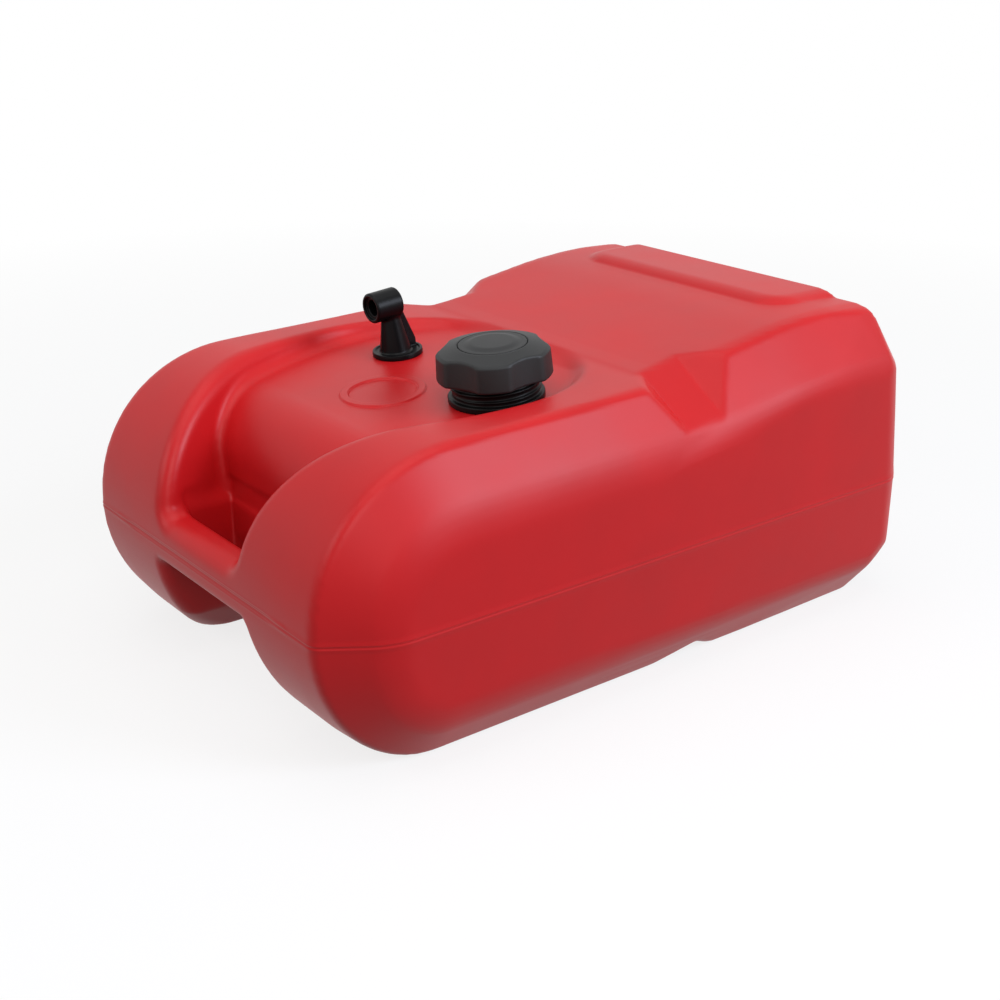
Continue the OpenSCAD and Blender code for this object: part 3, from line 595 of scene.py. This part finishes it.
# ---- small pieces, in millimetres from a point on the recess floor ----
NECK_AT, PICKUP_AT = (71.5, 200.0), (-59.0, 207.0)
NECK_R, NECK_BORE_R, NECK_RISE, NECK_DROP, COLLAR_R = 30.1, 25.5, 28.0, 6.5, 33.5
THREAD_R, THREAD_PITCH, THREAD_FLANK = 31.7, 5.0, 0.56
KNOB_R, KNOB_LOW, RIM_Z, CROWN_Z, CEILING_Z = 40.0, 17.1, 36.1, 39.5, 34.3
KNOB_BORE_R, LIP_R, DOME_R, DOME_H = 33.35, 32.2, 23.5, 1.6
KNOB_LOBES, LOBE_ANGLE, FLUTE_FLOOR, FLUTE_TURN, FLUTE_LEAN = 5, 29.0, 34.8, 34.5, 0.035
RATCHET_TEETH, TOOTH_TURN, TOOTH_HALF = 12, 7.7, 4.0
BARREL_Z, BARREL_R, BARREL_FRONT, BARREL_REAR = 39.8, 11.2, -19.5, 3.2
PORT_R, PORT_DEPTH, PASSAGE_R, STUB_R, STUB_END = 6.0, 13.0, 3.2, 11.0, -10.0
FLANGE_R, FLANGE_T, POST_FOOT, POST_HEAD, POST_LEAN = 18.8, 3.0, 12.0, 7.4, math.radians(3)


def stand(mesh, at):
    """Stands a piece on the leaning recess floor."""
    x, y = at
    turn = Matrix.Translation(place(x, y, floor_z(y))) @ Matrix.Rotation(FLOOR_TILT, 4, "X")
    mesh.transform(turn @ Matrix.Scale(MM, 4))
    return mesh


def block(low, high, step):
    """Coordinates of the points in a box, one array each."""
    x, y, z = (np.arange(a, b + step, step, dtype=np.float32) for a, b in zip(low, high))
    return x[:, None, None], y[None, :, None], z[None, None, :]


def field_mesh(name, low, step, field):
    """The surface of a small piece's field, in millimetres."""
    points, quads = zero_surface(np.ascontiguousarray(field, dtype=np.float32))
    return quad_mesh(name, points * step + np.array(low), quads)


def between(value, low, high):
    """Distance to the layer between two values."""
    return np.abs(value - (low + high) / 2) - (high - low) / 2


def tube(r, z, inner, outer, low, high):
    """Distance to a ring between two radii and two heights."""
    return np.maximum(between(r, inner, outer), between(z, low, high))


SPIN_STEP = 0.25


def spun(profile, r):
    """A profile over (radius, height) turned about the axis: its values at radius r."""
    at = np.clip(r[:, :, 0] / SPIN_STEP, 0, len(profile) - 1.001)
    base = at.astype(int)
    share = (at - base)[:, :, None].astype(np.float32)
    return profile[base] * (1 - share) + profile[base + 1] * share


def filler_neck():
    """The neck: a tube with a collar at its foot and a raised helical thread."""
    low, step = (-35.0, -35.0, -9.5), 0.5
    x, y, z = block(low, (35.0, 35.0, 29.5), step)
    r, turn = np.hypot(x, y), np.arctan2(y, x) / (2 * math.pi)
    wall = common(r - NECK_R, NECK_BORE_R - r, 0.6)
    wall = common(wall, between(z, -NECK_DROP, NECK_RISE), 0.7)
    collar = common(r - COLLAR_R, between(z, 0.1, 4.6), 0.8)
    inside = common(r - COLLAR_R, between(z, -8.0, -5.5), 0.4)
    climb = np.mod(z - 8.0 - THREAD_PITCH * turn + THREAD_PITCH / 2, THREAD_PITCH) - THREAD_PITCH / 2
    flank = (np.abs(climb) - 1.5) * math.cos(THREAD_FLANK) + (r - NECK_R) * math.sin(THREAD_FLANK)
    thread = common(common(flank, r - THREAD_R, 0.4), between(z, 7.2, 26.0), 0.8)
    whole = join(join(join(wall, thread, 0.4), collar, 0.8), inside, 0.4)
    return stand(field_mesh("neck_skin", low, step, np.maximum(whole, NECK_BORE_R - r)), NECK_AT)


def cap_knob():
    """The knob: five round lobes, a coned crown with a seat for the dome, and ratchet teeth inside."""
    low, step = (-42.0, -42.0, 15.5), 0.6
    x, y, z = block(low, (42.0, 42.0, 41.0), step)
    r = np.hypot(x, y)
    soft = 1.1
    outline = [
        (-1, KNOB_LOW + soft),
        (KNOB_R - soft, KNOB_LOW + soft),
        (KNOB_R - 0.9 - soft, RIM_Z - 1.0 - soft),
        (KNOB_R - 2.0 - soft, RIM_Z - soft),
        (DOME_R + 1.2, CROWN_Z - soft),
        (-1, CROWN_Z - soft),
    ]
    radii, heights = np.arange(0, 62, SPIN_STEP, dtype=np.float32)[:, None], z[0]
    body = spun(polygon_field(radii, heights, outline) - soft, r)
    half = math.radians(360 / KNOB_LOBES - LOBE_ANGLE) / 2
    chord, sag = KNOB_R * math.sin(half), KNOB_R * math.cos(half) - FLUTE_FLOOR
    flute_r = (chord**2 + sag**2) / (2 * sag)
    for i in range(KNOB_LOBES):
        a = math.radians(360 / KNOB_LOBES * (i + 0.5) + FLUTE_TURN)
        out = FLUTE_FLOOR + flute_r
        away = np.hypot(x - out * math.cos(a), y - out * math.sin(a))
        body = cut(body, away - flute_r + FLUTE_LEAN * (RIM_Z - z), 1.3)
    hollow = [
        (-1, KNOB_LOW - 8),
        (LIP_R, KNOB_LOW - 8),
        (LIP_R, KNOB_LOW + 1.5),
        (KNOB_BORE_R, KNOB_LOW + 1.5),
        (KNOB_BORE_R, CEILING_Z),
        (3, CEILING_Z),
        (3, CROWN_Z - 1.6),
        (DOME_R + 0.35, CROWN_Z - 1.6),
        (DOME_R + 0.35, CROWN_Z + 8),
        (-1, CROWN_Z + 8),
    ]
    body = cut(body, spun(polygon_field(radii, heights, hollow), r), 0.3)
    angle = np.arctan2(y, x)
    for i in range(RATCHET_TEETH):
        a = math.radians(i * 360 / RATCHET_TEETH + TOOTH_TURN)
        off = np.abs(np.mod(angle - a + math.pi, 2 * math.pi) - math.pi)
        sides = (off - math.radians(TOOTH_HALF)) * r
        body = np.minimum(body, np.maximum(sides, tube(r, z, 25.5, 28.5, 32.8, CEILING_Z + 0.6)))
    return stand(field_mesh("knob_skin", low, step, body), NECK_AT)


def lathe(name, outline, segments=160):
    """A closed outline in (radius, height) turned about the axis. It starts and ends on the axis."""
    ring = np.arange(segments) * 2 * math.pi / segments
    radii, heights = np.array(outline).T
    across = np.outer(np.cos(ring), radii), np.outer(np.sin(ring), radii)
    co = np.stack([*across, np.tile(heights, (segments, 1))], 2)
    bm = bmesh.new()
    verts = [[bm.verts.new(c) for c in row] for row in co]
    for one, two in zip(verts, verts[1:] + verts[:1]):
        for j in range(len(outline) - 1):
            bm.faces.new((one[j], two[j], two[j + 1], one[j + 1]))
    bmesh.ops.remove_doubles(bm, verts=bm.verts, dist=1e-4)
    bmesh.ops.recalc_face_normals(bm, faces=bm.faces)
    return mesh_of(bm, name)


def dome_cover():
    """The dome on the knob: a flat rim, a step and a low crown."""
    foot, seat = CEILING_Z + 0.1, CROWN_Z - 1.55
    outline = [(0, foot), (2.7, foot), (2.8, foot + 0.1), (2.8, seat)]
    outline += [(DOME_R - 0.1, seat), (DOME_R, seat + 0.1)]
    for a in np.radians([0, 30, 60, 85]):
        outline.append((DOME_R - 0.5 + 0.5 * math.cos(a), CROWN_Z - 0.4 + 0.5 * math.sin(a)))
    for t in steps(24):
        r = (DOME_R - 0.9) * (1 - t)
        step = (DOME_H - 0.4) * float(1 - ease(r, 14.0, 20.5))
        outline.append((r, CROWN_Z + 0.15 + step + 0.25 * math.cos(math.pi / 2 * r / DOME_R)))
    return stand(lathe("dome_skin", outline), NECK_AT)


def pickup_elbow():
    """The hose fitting: a barrel on a leaning post, with a rib behind and a flange at the foot."""
    low, step = (-20.0, -22.0, -11.0), 0.4
    x, y, z = block(low, (20.0, 20.0, 52.5), step)
    r, around = np.hypot(x, y), np.hypot(x, z - BARREL_Z)
    barrel = common(around - BARREL_R, between(y, BARREL_FRONT, BARREL_REAR) + 0 * z, 1.4)
    taper = (POST_FOOT - POST_HEAD) / (BARREL_Z - BARREL_R - FLANGE_T)
    over, back = z - FLANGE_T + 1, y + 1.5  # from the middle of the post's foot
    up = over * math.cos(POST_LEAN) - back * math.sin(POST_LEAN)
    out = np.hypot(x, back * math.cos(POST_LEAN) + over * math.sin(POST_LEAN))
    post = (out - POST_FOOT + taper * up) * math.cos(math.atan(taper))
    post = np.maximum(np.maximum(post, -up), z - BARREL_Z)
    post = join(post, np.maximum(np.abs(x) - 0.7, post - 0.9), 0.5)
    edge = [
        (-2.0, 2.0),
        (16.4, 2.0),
        (16.4, 8.5),
        (BARREL_REAR + 4.3, 32.0),
        (BARREL_REAR - 1.0, 36.0),
        (-2.0, 36.0),
    ]
    rib = common(np.abs(x) - 1.5, polygon_field(y[0], z[0], edge)[None], 0.5)
    flange = common(r - FLANGE_R, between(z, 0.1, FLANGE_T), 0.6)
    rim = common(tube(r, z, FLANGE_R - 2.2, FLANGE_R, 0.5, FLANGE_T + 1), r - FLANGE_R, 0.5)
    stub = common(r - STUB_R, between(z, STUB_END, 2), 0.6)
    body = join(join(flange, post, 1.6), join(rim, stub, 0.1), 0.4)
    body = join(join(body, rib, 0.9), barrel, 1.8)
    port = common(around - PORT_R, y - BARREL_FRONT - PORT_DEPTH + 0 * z, 0.5)
    along, down = np.maximum(around - PASSAGE_R, y + 0 * z), np.maximum(r - PASSAGE_R, z - BARREL_Z)
    passage = np.minimum(along, down)
    socket = np.maximum(r - 4.85, z + 1)
    groove = tube(r, z, 15.2, 16.8, -1, 1.6)
    mouth = common(around - PORT_R - 2.6, y - BARREL_FRONT - 2.2 + 0 * z, 0.4)
    body = cut(cut(body, port, 0.9), mouth, 0.5)
    body = cut(body, np.minimum(passage, np.minimum(socket, groove)), 0.2)
    return stand(field_mesh("elbow_skin", low, step, body), PICKUP_AT)


# ---- springs of the vent valve ----
RELIEF_SPRING = (7.62, 10.9, 24.0, 5, 1.1)  # radius, low end, high end, curls, wire
VACUUM_SPRING = (2.4, 10.9, 17.5, 4, 0.6)
RELIEF_LIFT, VACUUM_DROP = 2.5, 1.2  # how far each joint presses its spring together


def coil_spring(name, radius, low, high, curls, wire):
    """A spring on the cap's axis, its end curls lying flat."""
    per_curl, sides = 24, 10
    count = curls * per_curl
    bm = bmesh.new()
    rings = []
    for i in range(count + 1):
        t = min(max((i - per_curl / 4) / (count - per_curl / 2), 0), 1)
        a = 2 * math.pi * i / per_curl
        z = low + wire / 2 + (high - low - wire) * t
        around = [2 * math.pi * k / sides for k in range(sides)]
        out = [(radius + wire / 2 * math.cos(b), z + wire / 2 * math.sin(b)) for b in around]
        rings.append([bm.verts.new((r * math.cos(a), r * math.sin(a), h)) for r, h in out])
    for one, two in zip(rings, rings[1:]):
        for k in range(sides):
            bm.faces.new((one[k], one[(k + 1) % sides], two[(k + 1) % sides], two[k]))
    bm.faces.new(rings[0])
    bm.faces.new(rings[-1])
    bmesh.ops.recalc_face_normals(bm, faces=bm.faces)
    for face in bm.faces:
        face.smooth = len(face.verts) == 4
    return stand(mesh_of(bm, name, all_smooth=False), NECK_AT)


# ---- materials ----
def new_material(name):
    """(material, its node tree, its shader)."""
    material = bpy.data.materials.new(name)
    material.use_nodes = True
    tree = material.node_tree
    return material, tree, tree.nodes["Principled BSDF"]


def noise(tree, scale, detail=2.0):
    """A noise over the object, as the output that carries it."""
    where = tree.nodes.new("ShaderNodeTexCoord")
    node = tree.nodes.new("ShaderNodeTexNoise")
    node.inputs["Scale"].default_value = scale
    node.inputs["Detail"].default_value = detail
    tree.links.new(where.outputs["Object"], node.inputs["Vector"])
    return node.outputs["Fac"]


def mapped(tree, value, to_min, to_max, from_min=0.0, from_max=1.0):
    """A value moved from one range to another."""
    node = tree.nodes.new("ShaderNodeMapRange")
    node.inputs["From Min"].default_value = from_min
    node.inputs["From Max"].default_value = from_max
    node.inputs["To Min"].default_value = to_min
    node.inputs["To Max"].default_value = to_max
    tree.links.new(value, node.inputs["Value"])
    return node.outputs["Result"]


def bump(tree, height, distance, strength, under=None):
    """A bump with its full height in millimetres, on top of another one."""
    node = tree.nodes.new("ShaderNodeBump")
    node.inputs["Strength"].default_value = strength
    node.inputs["Distance"].default_value = distance * MM
    tree.links.new(height, node.inputs["Height"])
    if under:
        tree.links.new(under, node.inputs["Normal"])
    return node.outputs["Normal"]


def mixed(tree, share, first, second):
    """The second shader by this share, the first by the rest."""
    node = tree.nodes.new("ShaderNodeMixShader")
    for socket, source in zip(node.inputs, (share, first, second)):
        tree.links.new(source, socket)
    return node.outputs[0]


def plastic(name, colour, roughness, grain=0.35, grain_depth=0.25, wave=0.0, spread=0.08, specular=0.5):
    """A moulded plastic: mottled colour, fine grain, and slow waves of the wall.

    grain is the size of the grain and wave the height of the waves, in millimetres.
    """
    material, tree, shader = new_material(name)
    mottle = noise(tree, 14.0, 4.0)
    tint = tree.nodes.new("ShaderNodeVectorMath")
    tint.operation = "SCALE"
    tint.inputs[0].default_value = colour
    tree.links.new(mapped(tree, mottle, 1 - spread, 1 + spread, 0.3, 0.7), tint.inputs["Scale"])
    tree.links.new(tint.outputs["Vector"], shader.inputs["Base Color"])
    waves = bump(tree, noise(tree, 22.0, 1.5), wave, 1.0) if wave else None
    grains = bump(tree, noise(tree, 1 / (grain * MM)), 0.1, grain_depth, waves)
    tree.links.new(grains, shader.inputs["Normal"])
    gloss = mapped(tree, mottle, roughness - 0.05, roughness + 0.05)
    tree.links.new(gloss, shader.inputs["Roughness"])
    shader.inputs["Specular IOR Level"].default_value = specular
    return material


def metal(name, colour, roughness):
    """A drawn metal with slightly patchy gloss."""
    material, tree, shader = new_material(name)
    gloss = mapped(tree, noise(tree, 900.0), roughness - 0.08, roughness + 0.08)
    tree.links.new(gloss, shader.inputs["Roughness"])
    shader.inputs["Base Color"].default_value = (*colour, 1)
    shader.inputs["Metallic"].default_value = 1.0
    return material


RED = plastic(
    "red_shell",
    (0.585, 0.0095, 0.0125),
    0.40,
    grain=0.5,
    grain_depth=0.3,
    wave=0.25,
    spread=0.05,
    specular=0.28,
)
CAP = plastic("cap_grey", (0.0095, 0.0100, 0.0105), 0.50, grain=0.4, grain_depth=0.4, specular=0.32)
FITTING = plastic(
    "fitting_black", (0.0030, 0.0030, 0.0034), 0.34, grain=0.6, grain_depth=0.15, specular=0.12
)
BLACK = plastic("neck_black", (0.0035, 0.0034, 0.0034), 0.38, grain=0.5, grain_depth=0.2, specular=0.12)
WHITE = plastic("acetal_white", (0.72, 0.72, 0.68), 0.4)
RUBBER = plastic("rubber_black", (0.015, 0.015, 0.015), 0.7, grain=0.8, grain_depth=0.5)
STEEL = metal("spring_steel", (0.62, 0.62, 0.64), 0.3)

NODE_FINISH = {
    "cap_gasket": RUBBER,
    "cap_closure": BLACK,
    "ratchet_ring": WHITE,
    "valve_retainer": WHITE,
    "relief_poppet": WHITE,
    "relief_seal": RUBBER,
    "vacuum_valve": WHITE,
    "vacuum_seal": RUBBER,
    "pickup_bushing": BLACK,
    "pickup_oring": RUBBER,
    "dip_tube": WHITE,
    "strainer_cage": WHITE,
    "strainer_screen": WHITE,
}
for name, finish in NODE_FINISH.items():
    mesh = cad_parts[name].data
    mesh.materials.clear()
    mesh.materials.append(finish)

# ---- pieces built here, each in the place of a CAD node ----
add_object("shell_skin", finish_shell("shell_skin"), "tank", RED, "tank_shell")
add_object("neck_skin", filler_neck(), "tank", BLACK, "filler_neck")
add_object("knob_skin", cap_knob(), "knob", CAP, "cap_knob")
add_object("dome_skin", dome_cover(), "knob", CAP, "dome_cover")
add_object("elbow_skin", pickup_elbow(), "tank", FITTING, "pickup_elbow")
for name, body, node, spring, joint, travel, held_above in (
    ("relief_coil", "cap", "relief_spring", RELIEF_SPRING, "relief_lift", RELIEF_LIFT, True),
    ("vacuum_coil", "relief", "vacuum_spring", VACUUM_SPRING, "vacuum_drop", VACUUM_DROP, False),
):
    coil = add_object(name, coil_spring(name, *spring), body, STEEL, node)
    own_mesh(coil)

# ---- floor, light and camera ----
FLOOR_BOUNCE = (0.07, 0.068, 0.068)  # the floor's colour for rays that don't see it
FLOOR_GLOW = 0.8  # share of glow in the seen floor near the tank, which rises to 1
FADE_START, FADE_END = 0.45, 1.6  # distances from the middle of the tank over which it rises, in m


def area_light(name, at, aim, size, power, colour=(1, 1, 1)):
    """A rectangular lamp that faces a point."""
    light = bpy.data.lights.new(name, "AREA")
    light.shape = "RECTANGLE"
    light.size, light.size_y = size
    light.energy = power
    light.color = colour
    obj = bpy.data.objects.new(name, light)
    obj.location = at
    obj.rotation_euler = (Vector(aim) - Vector(at)).to_track_quat("-Z", "Y").to_euler()
    bpy.context.scene.collection.objects.link(obj)


def is_seen(tree):
    """1 for camera, glossy and transmitted rays, so that gloss shows the white studio too."""
    path = tree.nodes.new("ShaderNodeLightPath")
    seen = path.outputs["Is Camera Ray"]
    for other in ("Is Glossy Ray", "Is Transmission Ray"):
        both = tree.nodes.new("ShaderNodeMath")
        both.operation = "MAXIMUM"
        tree.links.new(seen, both.inputs[0])
        tree.links.new(path.outputs[other], both.inputs[1])
        seen = both.outputs[0]
    return seen


def white_floor(radius=7.0):
    """A pale floor that keeps a faint shadow near the tank and fades to white."""
    bm = bmesh.new()
    bmesh.ops.create_circle(bm, cap_ends=True, segments=96, radius=radius)
    mesh = mesh_of(bm, "floor", all_smooth=False)
    obj = bpy.data.objects.new("floor", mesh)
    obj.location.z = -0.0004
    bpy.context.scene.collection.objects.link(obj)
    material, tree, shader = new_material("floor_white")
    shader.inputs["Base Color"].default_value = (*FLOOR_BOUNCE, 1)
    shader.inputs["Roughness"].default_value = 0.9
    shader.inputs["Specular IOR Level"].default_value = 0.0
    white = tree.nodes.new("ShaderNodeBsdfDiffuse")
    white.inputs["Color"].default_value = (1, 1, 1, 1)
    glow = tree.nodes.new("ShaderNodeEmission")
    where = tree.nodes.new("ShaderNodeTexCoord")
    away = tree.nodes.new("ShaderNodeVectorMath")
    away.operation = "LENGTH"
    tree.links.new(where.outputs["Object"], away.inputs[0])
    share = mapped(tree, away.outputs["Value"], FLOOR_GLOW, 1.0, FADE_START, FADE_END)
    shown = mixed(tree, share, white.outputs["BSDF"], glow.outputs["Emission"])
    whole = mixed(tree, is_seen(tree), shader.outputs["BSDF"], shown)
    tree.links.new(whole, tree.nodes["Material Output"].inputs["Surface"])
    mesh.materials.append(material)


def white_world(strength):
    """A dim white room that looks fully white where it is seen."""
    world = bpy.data.worlds.new("studio")
    world.use_nodes = True
    bpy.context.scene.world = world
    tree = world.node_tree
    room = tree.nodes["Background"]
    room.inputs["Strength"].default_value = strength
    room.inputs["Color"].default_value = (1, 1, 1, 1)
    seen = tree.nodes.new("ShaderNodeBackground")
    seen.inputs["Color"].default_value = (1, 1, 1, 1)
    whole = mixed(tree, is_seen(tree), room.outputs[0], seen.outputs[0])
    tree.links.new(whole, tree.nodes["World Output"].inputs["Surface"])


def photo_camera():
    """The camera that the photograph was taken with, as fitted to its edges."""
    focal, width, sensor = 1498.85, 1000, 36.0  # the first two in pixels of the photo
    pitch, azimuth = math.radians(21.508), math.radians(52.173)
    camera = bpy.data.cameras.new("camera")
    camera.sensor_width = sensor
    camera.lens = focal * sensor / width
    obj = bpy.data.objects.new("camera", camera)
    obj.location = (0.84705, -0.6644, 0.5113)
    obj.rotation_euler = (math.pi / 2 - pitch, 0, azimuth)
    bpy.context.scene.collection.objects.link(obj)
    bpy.context.scene.camera = obj


white_floor()
white_world(0.21)
area_light("top_box", (0.1, -0.2, 1.7), (0, 0, 0.1), (1.5, 1.5), 10)
area_light("right_box", (1.92, 1.0, 1.2), (0, -0.05, 0.12), (1.0, 1.0), 38, (0.78, 0.85, 1.0))
area_light("near_box", (1.6, -0.95, 1.35), (0, 0, 0.12), (1.0, 1.0), 11)
area_light("front_box", (-0.5, -1.8, 1.25), (0, 0, 0.12), (1.2, 0.8), 8)
photo_camera()
bpy.context.scene.view_settings.view_transform = "Standard"
